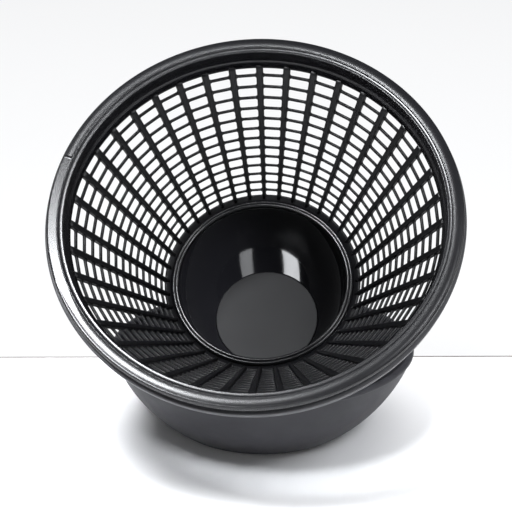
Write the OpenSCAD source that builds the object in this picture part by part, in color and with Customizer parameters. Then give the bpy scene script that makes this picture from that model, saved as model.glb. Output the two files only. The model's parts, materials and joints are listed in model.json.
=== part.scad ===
// Tilting spin basket on a round base.
// An open grille basket stands on a turntable. The turntable sits in a rocking cradle that
// slides in a curved saddle inside the base, so the basket can be tilted, spun and lifted off.
// Units are millimetres. The origin is the centre of the foot, on the table, and +Z is up.
// The mouth of the basket leans towards -Y.

/* [Basket] */
// Outer radius of the basket rim
rim_r = 130; // [126:1:134]
// Radius of the seat for a lid inside the rim
seat_r = 118; // [116:0.5:119]
// Inner radius of the grille at its upper edge
grille_r = 115.3; // [113:0.1:115.5]
// Height of the rim above the tilt centre, along the basket axis
rim_h = 103; // [101:1:106]
// Number of ribs round the grille
rib_count = 40; // [30:1:44]
// Number of rows of openings
row_count = 14; // [10:1:14]
// Rib width at the upper edge of the grille
rib_w_top = 4.6; // [3:0.1:6]
// Rib width at the lower edge of the grille
rib_w_low = 2.3; // [1.5:0.1:3]

/* [Cup] */
// Inner radius of the cup at its mouth
cup_r = 57; // [54:0.5:57]
// Wall thickness of the cup
cup_wall = 2.5; // [2:0.1:2.6]
// Radius of the cover disc in the bottom of the cup
disc_r = 36.6; // [32:0.2:36.6]

/* [Base] */
// Height of the tilt centre above the table
tilt_z = 101; // [101:0.5:104]
// Lean of the basket from upright, as stored
lean = 45; // [40:1:45]
// Height of the base bowl to the middle of its lip
bowl_h = 56; // [50:1:58]
// Outer radius of the sphere the bowl is cut from
bowl_r = 109.7; // [109:0.1:113]
// Wall thickness of the bowl
bowl_wall = 3; // [2.4:0.1:3]
// Radius of the non-slip foot
foot_r = 42; // [38:1:48]

/* [Cradle] */
// Outer radius of the cradle rails about the tilt centre
rail_r = 88.5; // [88:0.1:88.5]
// Distance of each rail's inner face from the middle
rail_in = 26; // [24.6:0.1:26]
// Width of each rail
rail_w = 8; // [6:0.1:8]
// Radius of the spindle
spindle_r = 4; // [3:0.1:4.4]

/* [Hidden] */
$fn = 96;
eps = 0.01;
black = [0.045, 0.045, 0.05];
satin = [0.16, 0.16, 0.17];
charcoal = [0.2, 0.2, 0.215];
steel = [0.7, 0.7, 0.72];
acetal = [0.86, 0.85, 0.8];
rubber = [0.09, 0.09, 0.09];

// grille cone, in the basket's own (radius, height) plane
grille_top = rim_h - 13.9;
grille_low_r = 61.6;
grille_low = 2;
slant = norm([grille_r - grille_low_r, grille_top - grille_low]);
slant_sin = (grille_r - grille_low_r) / slant;
slant_cos = (grille_top - grille_low) / slant;
slant_angle = asin(slant_sin);
ring_t = 1.7;
rib_t = 3;
rib_end = slant - 2;
row_first = 8.34;
row_step = 0.172;
ring_share = 0.235;

// outer edge of the rim face, set in from the lip of the skirt
face_r = rim_r - 1.6;

// the ramp pressed into the rim face
ramp_from = 163;
ramp_to = 250;
ramp_deep = 1.5;
ramp_slope = 0.8;

// the stack under the cup, in heights along the basket axis
cup_floor = -60.5;
cup_under = cup_floor - cup_wall;
socket_low = -70.5;
flange_low = -75.2;
plate_top = -76;
plate_low = -86.5;
spindle_low = -88.4;
cup_arc = 95.9;
boss_r = 14;

// cradle and saddle
rail_t = 11;
rail_mid = rail_r - rail_t / 2;
rail_back = 26;
rail_front = -70;
pin_r = 2;
slot_half = pin_r + 0.3;
slot_over = asin(slot_half / rail_mid);
seat_gap = 0.3;
liner_t = 1.2;
saddle_seat = rail_r + seat_gap + liner_t;
saddle_y = 45;
saddle_x = rail_in + rail_w + 4;
cheek_in = rail_in + rail_w + 0.8;
cheek_top = 25;
floor_z = 5;
under_z = 2;
ballast_top = 8;
bowl_mid = 94;
screw_x = 18;
screw_y = 29;

// ---------- helpers ----------

// places children from the basket's own frame (Z along its axis, tilt centre at zero)
module leaned() {
    translate([0, 0, tilt_z]) rotate([lean, 0, 0]) children();
}

// an arc-shaped bar about the X axis; angles run from straight down towards the back
module arc_bar(r0, r1, x0, x1, a0, a1) {
    rotate([0, 90, 0]) rotate([0, 0, a0]) rotate_extrude(angle = a1 - a0)
        translate([r0, x0]) square([r1 - r0, x1 - x0]);
}

// the same bar on the left and on the right
module arc_pair(r0, r1, x0, x1, a0, a1) {
    arc_bar(r0, r1, x0, x1, a0, a1);
    arc_bar(r0, r1, -x1, -x0, a0, a1);
}

// ring with a round hole
module ring(r_in, r_out, z0, z1) {
    difference() {
        translate([0, 0, z0]) cylinder(r = r_out, h = z1 - z0);
        translate([0, 0, z0 - 1]) cylinder(r = r_in, h = z1 - z0 + 2);
    }
}

// pan-head screw standing on z, head up, shank down
module screw(head_r, head_h, shank_r, shank_l) {
    difference() {
        cylinder(r = head_r, h = head_h);
        translate([0, 0, head_h - 1.1]) cylinder(r = head_r * 0.42, h = 2, $fn = 6);
    }
    translate([0, 0, -shank_l]) cylinder(r = shank_r, h = shank_l + eps);
}

// point on the grille cone: s along the slant from the upper edge, n outwards
function cone(s, n) = [grille_r - s * slant_sin + n * slant_cos,
                       grille_top - s * slant_cos - n * slant_sin];

// slant position of the ring below row k, and the height of that row
function ring_at(k) = (k + 1) * row_first - row_step * (k + 0.5) * (k + 0.5) / 2 - 1.2;
function row_h(k) = row_first - row_step * k;

// ---------- base ----------

module base_bowl() color(charcoal) {
    difference() {
        union() {
            intersection() {
                translate([0, 0, bowl_mid]) sphere(r = bowl_r);
                translate([0, 0, under_z]) cylinder(r = 130, h = bowl_h - under_z);
            }
            bowl_lip();
        }
        difference() {
            translate([0, 0, bowl_mid]) sphere(r = bowl_r - bowl_wall);
            translate([0, 0, -40]) cylinder(r = 130, h = 40 + floor_z);
        }
        // groove that holds the spigot of the foot
        ring(foot_r - 8, foot_r - 4, under_z - 1, under_z + 1.5);
        for (x = [-screw_x, screw_x], y = [-screw_y, screw_y])
            translate([x, y, under_z + 1]) cylinder(r = 1.7, h = 10);
    }
    difference() {
        for (x = [-screw_x, screw_x], y = [-screw_y, screw_y])
            translate([x, y, floor_z - 1]) cylinder(r = 5, h = ballast_top - floor_z + 1);
        for (x = [-screw_x, screw_x], y = [-screw_y, screw_y])
            translate([x, y, under_z + 1]) cylinder(r = 1.7, h = 10);
    }
}

module bowl_lip() {
    lip = bowl_wall * 0.8;
    rotate_extrude()
        translate([sqrt(pow(bowl_r - bowl_wall / 2, 2) - pow(bowl_mid - bowl_h, 2)), bowl_h])
            circle(r = lip, $fn = 24);
}

module foot_pad() color(rubber) {
    cylinder(r = foot_r, h = under_z);
    ring(foot_r - 8, foot_r - 4, under_z - eps, under_z + 1.5);
}

module ballast_plate() color(steel)
    difference() {
        translate([0, 0, floor_z]) cylinder(r = 50, h = ballast_top - floor_z);
        for (x = [-screw_x, screw_x], y = [-screw_y, screw_y])
            translate([x, y, floor_z - 1]) cylinder(r = 5.3, h = 10);
    }

module cradle_saddle() color(satin) {
    difference() {
        translate([-saddle_x, -saddle_y, ballast_top])
            cube([2 * saddle_x, 2 * saddle_y, cheek_top - ballast_top]);
        // curved seat
        translate([-cheek_in, 0, tilt_z]) rotate([0, 90, 0])
            cylinder(r = saddle_seat, h = 2 * cheek_in);
        // cheeks stay only near the pins
        for (y = [-saddle_y - 1, 14])
            translate([-60, y, ballast_top + 13])
                cube([120, saddle_y - 13, 20]);
        // open middle, clear of the spindle
        translate([-rail_in + 2, -36, ballast_top - 1]) cube([2 * rail_in - 4, 72, 30]);
        for (x = [-50, 30])
            translate([x, 0, tilt_z - rail_mid]) rotate([0, 90, 0])
                cylinder(r = pin_r + 0.03, h = 20);
    }
    // screw lugs
    difference() {
        for (x = [-1, 1], y = [-1, 1])
            translate([x * screw_x - 6, y * 30.5 - 7, ballast_top]) cube([12, 14, 3]);
        for (x = [-screw_x, screw_x], y = [-screw_y, screw_y])
            translate([x, y, ballast_top - 1]) cylinder(r = 2.3, h = 6);
    }
}

module saddle_screws() color(steel)
    for (x = [-screw_x, screw_x], y = [-screw_y, screw_y])
        translate([x, y, ballast_top + 3]) screw(3.8, 2.2, 1.65, 7.5);

module slide_liners() color(rubber)
    translate([0, 0, tilt_z])
        arc_pair(saddle_seat - liner_t, saddle_seat, rail_in + 1, rail_in + rail_w - 1, -26, 26);

module guide_pins() color(steel)
    for (side = [0, 1])
        mirror([side, 0, 0])
            translate([0, 0, tilt_z - rail_mid]) rotate([0, 90, 0]) {
                translate([0, 0, rail_in + 0.6]) cylinder(r = pin_r, h = saddle_x - rail_in - 0.5);
                translate([0, 0, saddle_x]) cylinder(r = 4, h = 2.4);
            }

// ---------- cradle ----------

module tilt_cradle() color(satin) leaned() {
    difference() {
        union() {
            arc_pair(rail_r - rail_t, rail_r, rail_in, rail_in + rail_w, rail_front, rail_back);
            // hub plate
            translate([-rail_in - 2, -16, plate_low])
                cube([2 * rail_in + 4, 32, plate_top - plate_low]);
            // tie bar at the front ends of the rails
            rotate([rail_front + 5, 0, 0])
                translate([-rail_in - 2, 0, -rail_mid]) rotate([0, 90, 0])
                    cylinder(r = 3.2, h = 2 * rail_in + 4);
        }
        // slots that ride on the guide pins; their ends stop the tilt
        arc_pair(rail_mid - slot_half, rail_mid + slot_half, rail_in - 1, rail_in + rail_w + 1,
            -lean - slot_over, slot_over);
        translate([0, 0, plate_low - 1]) cylinder(r = 7, h = 20);
    }
}

module spindle_bush() color(acetal) leaned()
    difference() {
        translate([0, 0, plate_low]) cylinder(r = 6.98, h = plate_top - plate_low);
        translate([0, 0, plate_low - 1]) cylinder(r = spindle_r + 0.05, h = 20);
    }

module thrust_washer() color(steel) leaned()
    ring(spindle_r + 0.3, 10, plate_top, plate_top + 0.7);

// ---------- turntable ----------

module turntable() color(satin) leaned()
    difference() {
        union() {
            translate([0, 0, flange_low]) cylinder(r = 24, h = socket_low - flange_low - 0.1);
            translate([0, 0, socket_low - 1]) cylinder(r = boss_r, h = 5.8, $fn = 6);
        }
        translate([0, 0, flange_low - 1]) cylinder(r = spindle_r, h = 8);
        for (a = [0:60:300])
            rotate([0, 0, a]) translate([19, 0, flange_low - 1]) cylinder(r = 2.4, h = 3);
    }

module spindle() color(steel) leaned()
    difference() {
        translate([0, 0, spindle_low]) cylinder(r = spindle_r, h = flange_low + 7 - spindle_low);
        ring(spindle_r - 0.8, spindle_r + 1, plate_low - 1.1, plate_low - 0.3);
    }

module spindle_clip() color(steel) leaned()
    difference() {
        ring(spindle_r - 0.78, spindle_r + 2.4, plate_low - 1.08, plate_low - 0.32);
        translate([-1.6, 0, plate_low - 2]) cube([3.2, 10, 3]);
    }

// ---------- basket ----------

module drive_socket() color(satin) leaned()
    difference() {
        translate([0, 0, socket_low]) cylinder(r = 25, h = cup_under - socket_low);
        translate([0, 0, socket_low - 1]) cylinder(r = boss_r + 0.35, h = 6.3, $fn = 6);
        for (a = [30:120:270])
            rotate([0, 0, a]) translate([19.5, 0, socket_low + 1.5]) cylinder(r = 1.5, h = 20);
    }

module socket_screws() color(steel) leaned()
    for (a = [30:120:270])
        rotate([0, 0, a]) translate([19.5, 0, cup_floor]) screw(3.2, 1.4, 1.45, 6.5);

module cup() color(black) leaned()
    difference() {
        rotate_extrude() difference() {
            union() {
                cup_half(0);
                // flange that rests on the lower ring of the grille
                translate([cup_r + 1, -0.5]) square([grille_low_r - 0.3 - cup_r - 1, 2]);
            }
            cup_half(cup_wall);
        }
        for (a = [30:120:270])
            rotate([0, 0, a]) translate([19.5, 0, cup_under - 1]) cylinder(r = 1.7, h = 10);
    }

// half outline of the cup, set in by a wall thickness
module cup_half(inset) {
    top = inset > 0 ? 3 : 1.5;
    intersection() {
        translate([cup_r + cup_wall - cup_arc, 0]) circle(r = cup_arc - inset, $fn = 720);
        translate([0, cup_under + inset]) square([100, top - cup_under - inset]);
    }
}

// cover disc; its edge is bevelled to follow the wall of the cup
module cup_disc() color(satin) leaned()
    difference() {
        rotate_extrude()
            polygon([[0, cup_floor], [disc_r - 2.3, cup_floor], [disc_r - 0.5, cup_floor + 2],
                [disc_r - 0.5, cup_floor + 2.3], [disc_r - 0.9, cup_floor + 2.6], [0, cup_floor + 2.6]]);
        ring(16, 23, cup_floor - 1, cup_floor + 1.6);
    }

module cup_collar() color(black) leaned()
    rotate_extrude() difference() {
        union() {
            translate([cup_r - 0.4, 1.5]) square([grille_low_r - cup_r, 2.2]);
            translate([cup_r + 0.9, 3.7]) circle(r = 1.3, $fn = 24);
            translate([grille_low_r - 1.6, 3.5]) circle(r = 1.1, $fn = 24);
        }
        translate([0, -9]) square([100, 10.5]);
    }

module basket_grille() color(black) leaned() {
    // top band with an upstand that locates it around the rim's wall
    rotate_extrude() polygon([[grille_r, grille_top], [seat_r + 3.3, grille_top], [seat_r + 3.3, rim_h - 8.7],
        [seat_r + 5.6, rim_h - 8.7], [seat_r + 5.6, grille_top - 2.6], cone(3.2, rib_t), cone(0.3, 0)]);
    for (k = [0 : row_count - 2]) {
        half = row_h(k) * ring_share / 2;
        rotate_extrude() polygon([cone(ring_at(k) - half, rib_t - ring_t), cone(ring_at(k) + half, rib_t - ring_t),
            cone(ring_at(k) + half, rib_t), cone(ring_at(k) - half, rib_t)]);
    }
    for (k = [0 : rib_count - 1])
        rotate([0, 0, 82.9 + k * 360 / rib_count]) rib();
    rotate_extrude() polygon([[59.8, -4], [65, -4], cone(slant - 2, rib_t), cone(slant - 4.2, rib_t),
        cone(slant - 4.2, rib_t - ring_t), [grille_low_r - 0.2, 1.7], [grille_low_r - 0.2, -0.5], [59.8, -0.5]]);
}

// one rib, tapering towards the cup
module rib()
    translate([grille_r, 0, grille_top]) rotate([0, slant_angle, 0]) rotate([0, 90, 0])
        linear_extrude(height = rib_t)
            polygon([[0.1, -rib_w_top / 2], [rib_end, -rib_w_low / 2],
                     [rib_end, rib_w_low / 2], [0.1, rib_w_top / 2]]);

module basket_rim() color(black) leaned()
    difference() {
        rotate_extrude() rim_profile();
        rim_ramp();
    }

// half section of the rim: flat face with bevelled edges, a lower ledge inside it and the wall of the seat
module rim_profile()
    polygon([[rim_r - 4.6, rim_h - 4.2], [face_r, rim_h - 4.2], [face_r, rim_h - 1.5], [face_r - 0.5, rim_h - 0.5],
        [face_r - 1.6, rim_h], [seat_r + 3.6, rim_h - 0.2], [seat_r + 2.9, rim_h - 0.5],
        [seat_r + 2.6, rim_h - 1.1], [seat_r + 0.7, rim_h - 1.2], [seat_r + 0.1, rim_h - 1.5], [seat_r, rim_h - 2],
        [seat_r, grille_top + 3.2], [grille_r, grille_top], [seat_r + 3, grille_top],
        [seat_r + 3, rim_h - 3.5], [rim_r - 4.6, rim_h - 2.9]]);

// shallow ramp that starts at a step and runs out along the rim face
module rim_ramp()
    intersection() {
        rotate([0, 0, ramp_from]) rotate_extrude(angle = ramp_to - ramp_from)
            translate([seat_r + 3.9, rim_h - 6]) square([face_r - seat_r - 4.9, 12]);
        rotate([0, 0, ramp_from]) translate([0, 0, rim_h - ramp_deep]) rotate([ramp_slope, 0, 0])
            translate([-160, -20, 0]) cube([320, 320, 20]);
    }

module rim_skirt() color(charcoal) leaned()
    rotate_extrude()
        polygon([[seat_r + 3.3, rim_h - 3.8], [rim_r - 4.6, rim_h - 3.8], [rim_r - 4.6, rim_h - 6.4],
            [rim_r - 0.5, rim_h - 6.4], [rim_r, rim_h - 6.9], [rim_r, rim_h - 7.9], [rim_r - 1, rim_h - 13],
            [rim_r - 3.6, rim_h - 13.6], [rim_r - 4, rim_h - 8.4], [seat_r + 3.3, rim_h - 8.4]]);

// ---------- the object ----------

base_bowl();
foot_pad();
ballast_plate();
cradle_saddle();
saddle_screws();
slide_liners();
guide_pins();
tilt_cradle();
spindle_bush();
thrust_washer();
turntable();
spindle();
spindle_clip();
drive_socket();
socket_screws();
cup();
cup_disc();
cup_collar();
basket_grille();
basket_rim();
rim_skirt();
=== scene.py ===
"""Looks of a tilting spin basket: materials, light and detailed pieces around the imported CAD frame."""

import json
import math

import bmesh
import bpy
from mathutils import Matrix, Vector

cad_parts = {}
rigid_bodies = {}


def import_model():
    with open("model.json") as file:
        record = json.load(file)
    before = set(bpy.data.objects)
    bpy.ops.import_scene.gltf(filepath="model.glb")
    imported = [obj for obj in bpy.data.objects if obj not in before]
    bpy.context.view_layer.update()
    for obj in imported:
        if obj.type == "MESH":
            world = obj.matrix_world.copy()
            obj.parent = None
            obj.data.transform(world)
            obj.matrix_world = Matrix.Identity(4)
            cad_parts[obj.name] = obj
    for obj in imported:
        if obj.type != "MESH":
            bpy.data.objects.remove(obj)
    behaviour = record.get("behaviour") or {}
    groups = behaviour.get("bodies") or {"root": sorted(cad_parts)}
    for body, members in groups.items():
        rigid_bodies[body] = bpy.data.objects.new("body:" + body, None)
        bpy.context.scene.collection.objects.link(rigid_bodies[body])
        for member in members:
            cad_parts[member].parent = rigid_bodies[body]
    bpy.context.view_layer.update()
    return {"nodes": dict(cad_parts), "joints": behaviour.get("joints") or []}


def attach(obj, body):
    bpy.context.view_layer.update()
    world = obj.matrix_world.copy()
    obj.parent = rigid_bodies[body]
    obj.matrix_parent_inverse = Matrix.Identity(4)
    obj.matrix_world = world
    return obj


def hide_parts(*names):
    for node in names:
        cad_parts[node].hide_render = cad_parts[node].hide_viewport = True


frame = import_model()
nodes = frame["nodes"]
MM = 0.001
TAU = 2 * math.pi

# ---------- the frame's own axes ----------

spin = next(j for j in frame["joints"] if j["name"] == "spin")
SPIN_AXIS = Vector(spin["axis"]).normalized()
TILT_CENTRE = Vector(spin["pos_m"])
LEAN = math.atan2(-SPIN_AXIS.y, SPIN_AXIS.z)
UPRIGHT = Matrix.Identity(4)
LEANED = Matrix.Translation(TILT_CENTRE) @ Matrix.Rotation(LEAN, 4, "X")

# sizes in millimetres, as in part.scad
RIM_R = 130
FACE_R = 128.4
SEAT_R = 118
GRILLE_R = 115.3
RIM_H = 103
GRILLE_TOP = RIM_H - 13.9
GRILLE_LOW_R = 61.6
GRILLE_LOW = 2
RIB_COUNT = 40
ROW_COUNT = 14
RIB_W_TOP = 4.6
RIB_W_LOW = 2.3
RIB_T = 3
RING_T = 1.7
CUP_R = 57
CUP_WALL = 2.5
CUP_FLOOR = -60.5
CUP_UNDER = CUP_FLOOR - CUP_WALL
CUP_ARC_R = 93.4
DISC_R = 36.1
RAMP_FROM = math.radians(163)
RAMP_TO = math.radians(250)
RAMP_DEEP = 1.5
RAMP_SLOPE = math.tan(math.radians(0.8))


# ---------- materials ----------

class Look:
    """A Principled material with procedural blotches, roughness variation and grain."""

    def __init__(self, name, colour, rough, specular=0.5, coat=0.0, coat_rough=0.05, metallic=0.0):
        self.material = bpy.data.materials.new(name)
        self.material.use_nodes = True
        self.tree = self.material.node_tree
        self.bsdf = next(n for n in self.tree.nodes if n.type == "BSDF_PRINCIPLED")
        self.place = self.node("ShaderNodeTexCoord").outputs["Object"]
        self.normal = None
        sockets = self.bsdf.inputs
        sockets["Base Color"].default_value = (*colour, 1)
        sockets["Roughness"].default_value = rough
        sockets["Metallic"].default_value = metallic
        sockets["Specular IOR Level"].default_value = specular
        sockets["Coat Weight"].default_value = coat
        sockets["Coat Roughness"].default_value = coat_rough
        self.colour = colour
        self.rough = rough

    def node(self, kind, **settings):
        made = self.tree.nodes.new(kind)
        for key, value in settings.items():
            setattr(made, key, value)
        return made

    def link(self, source, target):
        self.tree.links.new(source, target)

    def noise(self, per_metre, detail=3.0, roughness=0.5, stretch=(1, 1, 1)):
        mapping = self.node("ShaderNodeMapping")
        mapping.inputs["Scale"].default_value = stretch
        self.link(self.place, mapping.inputs["Vector"])
        made = self.node("ShaderNodeTexNoise")
        made.inputs["Scale"].default_value = per_metre
        made.inputs["Detail"].default_value = detail
        made.inputs["Roughness"].default_value = roughness
        self.link(mapping.outputs["Vector"], made.inputs["Vector"])
        return made.outputs["Fac"]

    def ramp(self, source, low, high, at=(0.3, 0.7)):
        made = self.node("ShaderNodeMapRange")
        made.inputs["From Min"].default_value, made.inputs["From Max"].default_value = at
        made.inputs["To Min"].default_value = low
        made.inputs["To Max"].default_value = high
        self.link(source, made.inputs["Value"])
        return made.outputs["Result"]

    def vary_colour(self, per_metre, share):
        """Slow lighter and darker blotches."""
        mix = self.node("ShaderNodeMix", data_type="RGBA")
        dark = [c * (1 - share) for c in self.colour]
        light = [c * (1 + share) for c in self.colour]
        mix.inputs[6].default_value = (*dark, 1)
        mix.inputs[7].default_value = (*light, 1)
        self.link(self.ramp(self.noise(per_metre), 0, 1), mix.inputs[0])
        self.link(mix.outputs[2], self.bsdf.inputs["Base Color"])
        return self

    def vary_rough(self, per_metre, spread, stretch=(1, 1, 1)):
        value = self.ramp(self.noise(per_metre, 4, 0.6, stretch), self.rough - spread, self.rough + spread)
        self.link(value, self.bsdf.inputs["Roughness"])
        return self

    def grain(self, per_metre, strength, height=0.0001, detail=2.0, stretch=(1, 1, 1)):
        """Raised moulded grain."""
        bump = self.node("ShaderNodeBump")
        bump.inputs["Strength"].default_value = strength
        bump.inputs["Distance"].default_value = height
        self.link(self.noise(per_metre, detail, 0.5, stretch), bump.inputs["Height"])
        if self.normal is not None:
            self.link(self.normal, bump.inputs["Normal"])
        self.normal = bump.outputs["Normal"]
        self.link(self.normal, self.bsdf.inputs["Normal"])
        return self


def plastic_looks():
    looks = {}
    looks["base"] = Look("base_charcoal", (0.026, 0.026, 0.030), 0.55, 0.3).vary_colour(25, 0.08) \
        .vary_rough(90, 0.05).grain(2600, 0.35, 0.00008)
    looks["skirt"] = Look("skirt_charcoal", (0.030, 0.030, 0.033), 0.5, 0.4).vary_colour(30, 0.08) \
        .vary_rough(90, 0.05).grain(2600, 0.3, 0.00008)
    looks["rim"] = Look("rim_semigloss", (0.006, 0.006, 0.007), 0.24, 0.4).vary_colour(20, 0.1) \
        .vary_rough(20, 0.01)
    looks["grille"] = Look("grille_black", (0.0035, 0.0035, 0.004), 0.36, 0.22).vary_colour(60, 0.15) \
        .vary_rough(200, 0.05).grain(700, 0.08, 0.00005)
    looks["cup"] = Look("cup_polished", (0.0009, 0.0009, 0.0011), 0.06, 0.5).vary_colour(20, 0.1) \
        .vary_rough(120, 0.02).grain(14, 0.25, 0.0004, 1.0)
    looks["collar"] = Look("collar_polished", (0.004, 0.004, 0.0045), 0.22, 0.35).vary_colour(20, 0.1) \
        .vary_rough(160, 0.04).grain(500, 0.1, 0.00006)
    looks["disc"] = Look("disc_satin", (0.0115, 0.0115, 0.012), 0.5, 0.1).vary_colour(9, 0.06) \
        .vary_rough(60, 0.02).grain(2400, 0.06, 0.00004)
    looks["inner"] = Look("inner_black", (0.014, 0.014, 0.015), 0.45, 0.4).vary_colour(40, 0.1) \
        .vary_rough(150, 0.06).grain(1500, 0.25, 0.00008)
    looks["rubber"] = Look("foot_rubber", (0.008, 0.008, 0.008), 0.75, 0.3).vary_colour(60, 0.15) \
        .vary_rough(200, 0.06).grain(3000, 0.4, 0.0001)
    looks["steel"] = Look("turned_steel", (0.55, 0.55, 0.56), 0.32, 0.5, metallic=1.0) \
        .vary_colour(120, 0.05).vary_rough(300, 0.06, (1, 1, 8)).grain(900, 0.15, 0.00005, 2.0, (1, 1, 12))
    looks["acetal"] = Look("acetal_white", (0.62, 0.6, 0.56), 0.38, 0.5).vary_colour(80, 0.04) \
        .vary_rough(200, 0.05).grain(900, 0.15, 0.00005)
    return {key: look.material for key, look in looks.items()}


looks = plastic_looks()


# ---------- mesh helpers ----------

def rounded(points, steps=5):
    """Polyline through (r, z, radius) points with each corner rounded by its radius."""
    out = []
    count = len(points)
    for i, (x, z, radius) in enumerate(points):
        here = Vector((x, z))
        before = Vector(points[i - 1][:2]) - here
        after = Vector(points[(i + 1) % count][:2]) - here
        turn = before.angle(after, math.pi)
        if radius <= 0 or abs(math.pi - turn) < 0.01:
            out.append((x, z))
            continue
        reach = min(radius / math.tan(turn / 2), before.length * 0.49, after.length * 0.49)
        true_radius = reach * math.tan(turn / 2)
        start = here + before.normalized() * reach
        stop = here + after.normalized() * reach
        inwards = (before.normalized() + after.normalized()).normalized()
        middle = here + inwards * (true_radius / math.sin(turn / 2))
        a, b = start - middle, stop - middle
        sweep = a.angle_signed(b)
        for k in range(steps + 1):
            angle = -sweep * k / steps
            out.append((middle.x + a.x * math.cos(angle) - a.y * math.sin(angle),
                        middle.y + a.x * math.sin(angle) + a.y * math.cos(angle)))
    return out


def arc(cx, cz, radius, from_deg, to_deg, steps):
    """Points of an arc in the (r, z) plane."""
    return [(cx + radius * math.cos(math.radians(from_deg + (to_deg - from_deg) * k / steps)),
             cz + radius * math.sin(math.radians(from_deg + (to_deg - from_deg) * k / steps)))
            for k in range(steps + 1)]


def finish_mesh(name, work, placing, look, body, replaced=()):
    """Turns a bmesh in millimetres into a smooth-shaded piece riding on a body."""
    bmesh.ops.remove_doubles(work, verts=work.verts, dist=0.0005)
    bmesh.ops.recalc_face_normals(work, faces=work.faces)
    mesh = bpy.data.meshes.new(name)
    work.to_mesh(mesh)
    work.free()
    mesh.transform(placing @ Matrix.Scale(MM, 4))
    for polygon in mesh.polygons:
        polygon.use_smooth = True
    piece = bpy.data.objects.new(name, mesh)
    bpy.context.scene.collection.objects.link(piece)
    piece.data.materials.append(look)
    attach(piece, body)
    if replaced:
        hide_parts(*replaced)
    return piece


def lathe(work, profile, segments=256, closed=True, angles=None, shape=None):
    """Revolves an (r, z) profile; shape(angle, r, z) may move a point for its angle."""
    angles = angles or [TAU * i / segments for i in range(segments)]
    columns = []
    for angle in angles:
        column = []
        for r, z in profile:
            if shape:
                r, z = shape(angle, r, z)
            column.append(work.verts.new((r * math.cos(angle), r * math.sin(angle), z)))
        columns.append(column)
    links = len(profile) if closed else len(profile) - 1
    for i, column in enumerate(columns):
        following = columns[(i + 1) % len(columns)]
        for k in range(links):
            m = (k + 1) % len(profile)
            quad = [column[k], column[m], following[m], following[k]]
            if profile[k][0] < 1e-6:
                quad = [column[m], following[m], column[k]]
            elif profile[m][0] < 1e-6:
                quad = [column[k], column[m], following[k]]
            work.faces.new(quad)


# ---------- basket rim ----------

FACE_IN = SEAT_R + 3.4
FACE_OUT = FACE_R - 1.5


def face_height(r):
    """Gently domed face of the rim: height at radius r."""
    middle = 0.5 * (FACE_OUT + FACE_IN)
    half = 0.5 * (FACE_OUT - FACE_IN)
    t = (r - middle) / half
    return RIM_H - 0.02 - 0.3 * t * t - 0.06 * (1 - t)


def ramp_cut(angle, r, z):
    """Sinks the rim face inside the ramp, deepest at its step."""
    turn = angle - RAMP_FROM
    if not 0 <= turn <= RAMP_TO - RAMP_FROM:
        return r, z
    if not SEAT_R + 3.9 <= r <= FACE_R - 1.0 or z < RIM_H - 1.5:
        return r, z
    floor = RIM_H - RAMP_DEEP + RAMP_SLOPE * r * math.sin(turn)
    return r, min(z, floor)


def build_rim():
    work = bmesh.new()
    face = []
    for k in range(17):
        r = FACE_OUT + (FACE_IN - FACE_OUT) * k / 16
        face.append((r, face_height(r)))
    # sharp shoulders for the ramp's two long edges
    shoulder_out = FACE_R - 1.0
    shoulder_in = SEAT_R + 3.9
    lip = rounded([(FACE_R - 3.0, RIM_H - 4.2, 0.3), (FACE_R, RIM_H - 4.2, 0.5),
                   (FACE_R, RIM_H - 1.2, 0.9)], 6)[:-1]
    lip += arc(FACE_R - 1.5, RIM_H - 1.8, 1.5, 8, 62, 7)
    lip += [(shoulder_out + 0.06, face_height(FACE_OUT) - 0.02),
            (shoulder_out - 0.02, face_height(FACE_OUT) - 0.01)]
    face = [q for q in face if q[0] < shoulder_out - 0.1 and abs(q[0] - shoulder_in) > 0.15]
    face += [(shoulder_in + 0.03, face_height(shoulder_in)), (shoulder_in - 0.06, face_height(shoulder_in))]
    face.sort(key=lambda q: -q[0])
    edge_one = arc(FACE_IN + 0.1, RIM_H - 1.1, 0.72, 78, 176, 8)
    ledge = [(SEAT_R + 2.72, RIM_H - 1.25), (SEAT_R + 2.55, RIM_H - 1.36), (SEAT_R + 1.2, RIM_H - 1.4)]
    edge_two = arc(SEAT_R + 0.6, RIM_H - 2.0, 0.6, 84, 180, 7)
    wall = [(SEAT_R, GRILLE_TOP + 8), (SEAT_R, GRILLE_TOP + 3.4), (SEAT_R - 0.25, GRILLE_TOP + 2.9),
            (GRILLE_R, GRILLE_TOP), (SEAT_R + 3, GRILLE_TOP), (SEAT_R + 3, RIM_H - 3.5),
            (FACE_R - 3.0, RIM_H - 2.9)]
    profile = lip + face + edge_one + ledge + edge_two + wall
    angles = [TAU * i / 720 for i in range(720)]
    angles += [RAMP_FROM - 0.0006, RAMP_FROM + 0.0006]
    angles = sorted(angles)
    lathe(work, profile, angles=angles, shape=ramp_cut)
    return finish_mesh("rim_ring", work, LEANED, looks["rim"], "basket", ["basket_rim"])


def build_skirt():
    work = bmesh.new()
    profile = rounded([(SEAT_R + 3.3, RIM_H - 3.8, 0.2), (RIM_R - 4.6, RIM_H - 3.8, 0.2),
                       (RIM_R - 4.6, RIM_H - 6.4, 0.3), (RIM_R, RIM_H - 6.4, 0.7),
                       (RIM_R - 0.05, RIM_H - 7.9, 1.0), (RIM_R - 1, RIM_H - 13.3, 0.8),
                       (RIM_R - 3.6, RIM_H - 13.6, 0.5), (RIM_R - 4, RIM_H - 8.4, 0.5),
                       (SEAT_R + 3.3, RIM_H - 8.4, 0.3)])
    lathe(work, profile, 360)
    return finish_mesh("skirt_ring", work, LEANED, looks["skirt"], "basket", ["rim_skirt"])


# ---------- grille ----------

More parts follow.
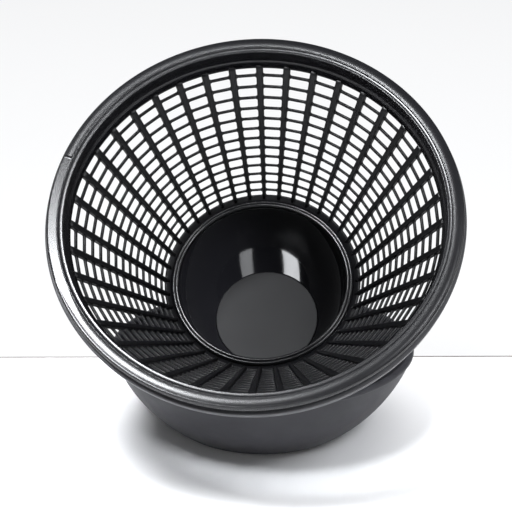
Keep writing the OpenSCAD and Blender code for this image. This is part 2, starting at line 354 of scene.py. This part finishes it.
SLANT = math.hypot(GRILLE_R - GRILLE_LOW_R, GRILLE_TOP - GRILLE_LOW)
SLANT_SIN = (GRILLE_R - GRILLE_LOW_R) / SLANT
SLANT_COS = (GRILLE_TOP - GRILLE_LOW) / SLANT
CELL_LOW = SLANT - 4.2
RIB_TURN = math.radians(82.9)
RING_SHARE = 0.235
CELL_ROUND = 1.1


def cone(s, n):
    """(r, z) at slant distance s below the upper edge, n outwards from the inner face."""
    return (GRILLE_R - s * SLANT_SIN + n * SLANT_COS, GRILLE_TOP - s * SLANT_COS - n * SLANT_SIN)


def ring_at(k):
    return (k + 1) * 8.34 - 0.086 * (k + 0.5) ** 2 - 1.2


def row_h(k):
    return 8.34 - 0.172 * k


def rib_w(s):
    return RIB_W_TOP + (RIB_W_LOW - RIB_W_TOP) * max(0.0, s) / (SLANT - 2)


def rounded_cell(width, low, high, radius, steps=3):
    """Loop of (u, s) points round a cell whose width is a function of s."""
    loop = []
    corners = [(1, low, 180, 90), (1, high, 90, 0), (-1, high, 0, -90), (-1, low, -90, -180)]
    for side, s, start, stop in corners:
        cs = s + radius if s == low else s - radius
        for k in range(steps + 1):
            a = math.radians(start + (stop - start) * k / steps)
            ps = cs + radius * math.cos(a)
            half = width(ps) / 2
            loop.append((side * (half - radius) + radius * math.sin(a), ps))
    return loop


def build_grille():
    work = bmesh.new()

    def vert(angle, u, s, n):
        r, z = cone(s, n)
        a = angle + u / r
        return work.verts.new((r * math.cos(a), r * math.sin(a), z))

    def bridge(a, b):
        for i in range(len(a)):
            j = (i + 1) % len(a)
            work.faces.new([a[i], a[j], b[j], b[i]])

    inner_n, outer_n = RIB_T - RING_T, RIB_T
    soft = 0.45
    steps = 3
    edges = [0.0] + [ring_at(k) for k in range(ROW_COUNT - 1)] + [CELL_LOW]
    for column in range(RIB_COUNT):
        middle = RIB_TURN + TAU * (column + 0.5) / RIB_COUNT
        for row in range(ROW_COUNT):
            top, low = edges[row], edges[row + 1]
            gap = row_h(row) * RING_SHARE / 2
            cell_top = top + (gap if row else 0.25)
            cell_low = low - (gap if row < ROW_COUNT - 1 else 0.0)
            tile_top = top if row else -0.8
            tile_low = low if row < ROW_COUNT - 1 else SLANT - 2.2

            def pitch(s):
                return TAU * cone(s, 0)[0] / RIB_COUNT

            def cell_outline(extra):
                return rounded_cell(lambda q: pitch(q) - rib_w(q) + 2 * extra,
                                    cell_top - extra, cell_low + extra, CELL_ROUND + extra * 0.6, steps)

            def tile(n):
                """Outer loop on the tile's border, matched point by point to the cell's loop."""
                verts = []
                for i, (u, s) in enumerate(cell_outline(0)):
                    corner, k = divmod(i, steps + 1)
                    side = 1 if corner < 2 else -1
                    edge_s = tile_top if corner in (0, 3) else tile_low
                    facing_rib = k == (steps if corner in (0, 2) else 0)
                    at_corner = 0 < k < steps
                    point_s = s if facing_rib else edge_s
                    r, z = cone(point_s, n)
                    angle = side * math.pi / RIB_COUNT if facing_rib or at_corner else u / r
                    turn = middle + angle
                    verts.append(work.verts.new((r * math.cos(turn), r * math.sin(turn), z)))
                return verts

            def cell(extra, n):
                return [vert(middle, u, s, n) for u, s in cell_outline(extra)]

            loops = [tile(inner_n), cell(soft, inner_n), cell(soft * 0.3, inner_n + soft * 0.3),
                     cell(0, inner_n + soft), cell(0, outer_n - soft), cell(soft * 0.3, outer_n - soft * 0.3),
                     cell(soft, outer_n), tile(outer_n)]
            for a, b in zip(loops, loops[1:]):
                bridge(a, b)
    # ribs proud on the inside, with rounded shoulders
    lengths = 30
    for index in range(RIB_COUNT):
        angle = RIB_TURN + TAU * index / RIB_COUNT
        rings = []
        for k in range(lengths + 1):
            s = -0.5 + (SLANT - 1.6) * k / lengths
            half = rib_w(s) / 2
            section = [(-half, inner_n + 0.6), (-half, 0.75), (-half + 0.12, 0.4), (-half + 0.35, 0.16),
                       (-half + 0.75, 0.03), (0, 0.0), (half - 0.75, 0.03), (half - 0.35, 0.16),
                       (half - 0.12, 0.4), (half, 0.75), (half, inner_n + 0.6)]
            rings.append([vert(angle, u, s, n) for u, n in section])
        for a, b in zip(rings, rings[1:]):
            bridge(a, b)
        work.faces.new(rings[0][::-1])
        work.faces.new(rings[-1])
    # bands at the upper and lower edges
    top_band = rounded([cone(-0.3, 0.2) + (0.3,), cone(-0.3, inner_n) + (0.1,),
                        (SEAT_R + 3.3, GRILLE_TOP - 0.1, 0.1), (SEAT_R + 3.3, RIM_H - 8.7, 0.3),
                        (SEAT_R + 5.6, RIM_H - 8.7, 0.4), (SEAT_R + 5.6, GRILLE_TOP - 2.6, 0.5),
                        cone(3.2, RIB_T) + (0.4,), cone(0.7, RIB_T) + (0.2,), cone(0.25, 0.6) + (0.3,)], 3)
    lathe(work, top_band, 360)
    low_band = rounded([(59.8, -4, 0.4), (65, -4, 0.6), cone(SLANT - 2, RIB_T) + (0.5,),
                        cone(CELL_LOW, RIB_T) + (0.3,), cone(CELL_LOW, RIB_T - RING_T) + (0.3,),
                        (GRILLE_LOW_R - 0.2, 1.7, 0.2),
                        (GRILLE_LOW_R - 0.2, -0.5, 0.1), (59.8, -0.5, 0.2)], 3)
    lathe(work, low_band, 360)
    return finish_mesh("grille_lattice", work, LEANED, looks["grille"], "basket",
                       ["basket_grille"])


# ---------- cup, collar and disc ----------

def build_cup():
    work = bmesh.new()
    centre = CUP_R - CUP_ARC_R

    def wall(radius, from_z, to_z, steps):
        heights = [from_z + (to_z - from_z) * k / steps for k in range(steps + 1)]
        return [(centre + math.sqrt(radius ** 2 - z * z), z) for z in heights]

    inside = [(0, CUP_FLOOR)] + wall(CUP_ARC_R, CUP_FLOOR, 0.9, 60)
    mouth = rounded([(CUP_R, 1.5, 0.5), (GRILLE_LOW_R - 0.3, 1.5, 0.4), (GRILLE_LOW_R - 0.3, -0.5, 0.4),
                     (CUP_R + CUP_WALL, -0.5, 0.6)], 4)
    outer = wall(CUP_ARC_R + CUP_WALL, -1.5, CUP_UNDER + 1.2, 60)
    foot = outer[-1][0]
    outer += [(foot - 0.75, CUP_UNDER + 0.5), (foot - 1.2, CUP_UNDER + 0.12),
              (foot - 1.9, CUP_UNDER), (0, CUP_UNDER)]
    lathe(work, inside + mouth + outer, 360, closed=False)
    return finish_mesh("cup_shell", work, LEANED, looks["cup"], "basket", ["cup"])


def build_collar():
    work = bmesh.new()
    profile = [(CUP_R - 0.4, 1.55), (CUP_R - 0.4, 3.4)] + arc(CUP_R + 0.9, 3.7, 1.3, 180, 20, 8)
    profile += [(CUP_R + 2.3, 3.75)] + arc(GRILLE_LOW_R - 1.6, 3.5, 1.1, 150, 0, 8)
    profile += [(GRILLE_LOW_R - 0.5, 1.55)]
    lathe(work, profile, 360)
    return finish_mesh("collar_ring", work, LEANED, looks["collar"], "basket", ["cup_collar"])


def build_disc():
    work = bmesh.new()
    low, top = CUP_FLOOR + 0.02, CUP_FLOOR + 2.6
    profile = [(0, low), (DISC_R - 2.2, low), (DISC_R - 1.8, low), (DISC_R - 0.15, low + 1.75)]
    profile += arc(DISC_R - 0.5, top - 0.5, 0.5, -20, 90, 8)
    profile += [(DISC_R - 1.2, top), (DISC_R - 14, top), (0, top)]
    lathe(work, profile, 256, closed=False)
    return finish_mesh("disc_cover", work, LEANED, looks["disc"], "basket", ["cup_disc"])


# ---------- base ----------

BOWL_MID = 94
BOWL_R = 109.7
BOWL_WALL = 3
BOWL_H = 56
BOWL_UNDER = 2
BOWL_FLOOR = 5


def build_bowl():
    work = bmesh.new()

    def sphere_r(radius, z):
        return math.sqrt(radius ** 2 - (z - BOWL_MID) ** 2)

    lip_r = 0.8 * BOWL_WALL
    lip_x = sphere_r(BOWL_R - BOWL_WALL / 2, BOWL_H)
    foot_edge = sphere_r(BOWL_R, BOWL_UNDER)
    profile = [(0, BOWL_UNDER), (20, BOWL_UNDER), (46, BOWL_UNDER), (foot_edge - 2.2, BOWL_UNDER),
               (foot_edge - 0.9, BOWL_UNDER + 0.12), (foot_edge + 0.2, BOWL_UNDER + 0.5),
               (sphere_r(BOWL_R, 3.4), 3.4)]
    steps = 60
    for k in range(steps + 1):
        z = 4.2 + (BOWL_H - 1.2 - 4.2) * k / steps
        profile.append((sphere_r(BOWL_R, z), z))
    profile += arc(lip_x, BOWL_H, lip_r, -10, 200, 16)
    for k in range(steps + 1):
        z = BOWL_H - 2.0 + (BOWL_FLOOR + 0.6 - BOWL_H + 2.0) * k / steps
        profile.append((sphere_r(BOWL_R - BOWL_WALL, z), z))
    floor_edge = sphere_r(BOWL_R - BOWL_WALL, BOWL_FLOOR) - 1.2
    profile += [(floor_edge, BOWL_FLOOR), (40, BOWL_FLOOR), (0, BOWL_FLOOR)]
    lathe(work, profile, 360, closed=False)
    return finish_mesh("bowl_shell", work, UPRIGHT, looks["base"], "base", ["base_bowl"])


build_rim()
build_skirt()
build_grille()
build_cup()
build_collar()
build_disc()
build_bowl()

# ---------- CAD nodes that stay, with their looks ----------

KEPT = {
    "foot_pad": "rubber", "ballast_plate": "steel", "cradle_saddle": "inner", "saddle_screws": "steel",
    "slide_liners": "rubber", "guide_pins": "steel", "tilt_cradle": "inner", "spindle_bush": "acetal",
    "thrust_washer": "steel", "turntable": "inner", "spindle": "steel", "spindle_clip": "steel",
    "drive_socket": "inner", "socket_screws": "steel",
}
for name, look in KEPT.items():
    piece = nodes[name]
    piece.data.materials.clear()
    piece.data.materials.append(looks[look])
    soften = piece.modifiers.new("soft_edges", "BEVEL")
    soften.width = 0.0004
    soften.segments = 2
    soften.limit_method = "ANGLE"
    soften.angle_limit = math.radians(40)
    soften.harden_normals = True

# ---------- floor and backdrop ----------

# the table ends in a straight seam behind the object, square to the camera; the dark strip along the seam is
# painted shade standing for the gap there
SEAM_TURN = math.radians(4.9)
SEAM_AT = 0.1111
SEAM_WIDE = 0.0018
STAGE_REACH = 14


def sheet(name, near, far, z, material):
    """A level strip of the stage between two distances from the object, turned to face the camera."""
    turn = Matrix.Rotation(SEAM_TURN, 4, "Z")
    corners = [(-STAGE_REACH, near, z), (STAGE_REACH, near, z), (STAGE_REACH, far, z), (-STAGE_REACH, far, z)]
    mesh = bpy.data.meshes.new(name)
    mesh.from_pydata([turn @ Vector(c) for c in corners], [], [(0, 1, 2, 3)])
    made = bpy.data.objects.new(name, mesh)
    bpy.context.scene.collection.objects.link(made)
    mesh.materials.append(material)
    return made


table_look = Look("table_pale", (0.86, 0.86, 0.87), 0.5, 0.3).vary_colour(3, 0.01).material
back_look = Look("backdrop_pale", (0.10, 0.10, 0.10), 0.8, 0.1).vary_colour(2, 0.01)
back_look.bsdf.inputs["Emission Color"].default_value = (0.985, 0.99, 1.0, 1)
back_look.bsdf.inputs["Emission Strength"].default_value = 0.84
# dark strip at the seam: painted shade of the shadowed gap behind the table's edge, not a lamp-independent
# colour of a real part
seam_shade_look = Look("table_seam_painted_shade", (0.16, 0.14, 0.125), 0.6, 0.2).vary_colour(9, 0.3).material
sheet("floor_table", -STAGE_REACH, SEAM_AT, 0, table_look)
sheet("floor_back", SEAM_AT + SEAM_WIDE, STAGE_REACH, 0, back_look.material)
sheet("floor_seam", SEAM_AT, SEAM_AT + SEAM_WIDE, 0.00005, seam_shade_look)

# ---------- light ----------

world = bpy.data.worlds.new("studio")
bpy.context.scene.world = world
world.use_nodes = True
background = next(n for n in world.node_tree.nodes if n.type == "BACKGROUND")
background.inputs["Color"].default_value = (0.95, 0.97, 1.0, 1)
background.inputs["Strength"].default_value = 0.10


def soft_light(name, place, aim, size, power, colour=(1, 1, 1), mirrored=True):
    """A rectangular studio light; one that is not mirrored lights surfaces but shows in no gloss."""
    data = bpy.data.lights.new(name, "AREA")
    data.shape = "RECTANGLE"
    data.size, data.size_y = size
    data.energy = power
    data.color = colour
    made = bpy.data.objects.new(name, data)
    bpy.context.scene.collection.objects.link(made)
    made.location = place
    made.rotation_mode = "QUATERNION"
    made.rotation_quaternion = (Vector(aim) - made.location).to_track_quat("-Z", "Y")
    made.visible_glossy = mirrored
    return made


COOL = (0.95, 0.97, 1.0)
soft_light("overhead", (0.0, 0.85, 2.5), (0, -0.1, 0), (3.2, 2.6), 74, mirrored=False)
soft_light("front_fill", (0.35, -2.2, 0.95), (0, 0, 0.1), (2.2, 1.2), 10, mirrored=False)
soft_light("window_glow", (-0.37, -0.64, 1.28), (-0.08, -0.12, 0.12), (0.28, 0.34), 30, COOL)
soft_light("window_right", (0.62, -0.72, 1.0), (0, -0.05, 0.1), (0.26, 0.34), 8, COOL)
soft_light("window_strip", (1.05, -0.20, 0.90), (0, -0.05, 0.12), (0.2, 0.9), 4, COOL)

# a broad window to the right is lit strongly for the polished cup alone
cup_window = soft_light("window_cup", (0.60, -0.68, 0.98), (0, -0.02, 0.08), (0.62, 0.44), 260, COOL)
cup_only = bpy.data.collections.new("cup_window_receivers")
for piece in bpy.data.objects:
    if piece.type == "MESH" and piece.name.startswith("cup_shell"):
        cup_only.objects.link(piece)
cup_window.light_linking.receiver_collection = cup_only

# ---------- camera ----------

FOCAL_PX = 1400
VIEW_AZIMUTH = math.radians(4.6)
VIEW_ELEVATION = math.radians(18.6)
VIEW_DISTANCE = 0.857
rim_centre = TILT_CENTRE + SPIN_AXIS * RIM_H * MM
back = Vector((math.sin(VIEW_AZIMUTH) * math.cos(VIEW_ELEVATION),
               -math.cos(VIEW_AZIMUTH) * math.cos(VIEW_ELEVATION), math.sin(VIEW_ELEVATION)))
right = Vector((math.cos(VIEW_AZIMUTH), math.sin(VIEW_AZIMUTH), 0))
up = back.cross(right)
camera_data = bpy.data.cameras.new("camera")
camera_data.sensor_width = 36
camera_data.lens = FOCAL_PX * 36 / 512
camera = bpy.data.objects.new("camera", camera_data)
bpy.context.scene.collection.objects.link(camera)
camera.location = rim_centre + back * VIEW_DISTANCE + right * 0.0014 - up * 0.0276
camera.rotation_mode = "QUATERNION"
camera.rotation_quaternion = (-back).to_track_quat("-Z", "Y")
camera_data.clip_start, camera_data.clip_end = 0.05, 60
bpy.context.scene.camera = camera
bpy.context.scene.view_settings.view_transform = "Standard"
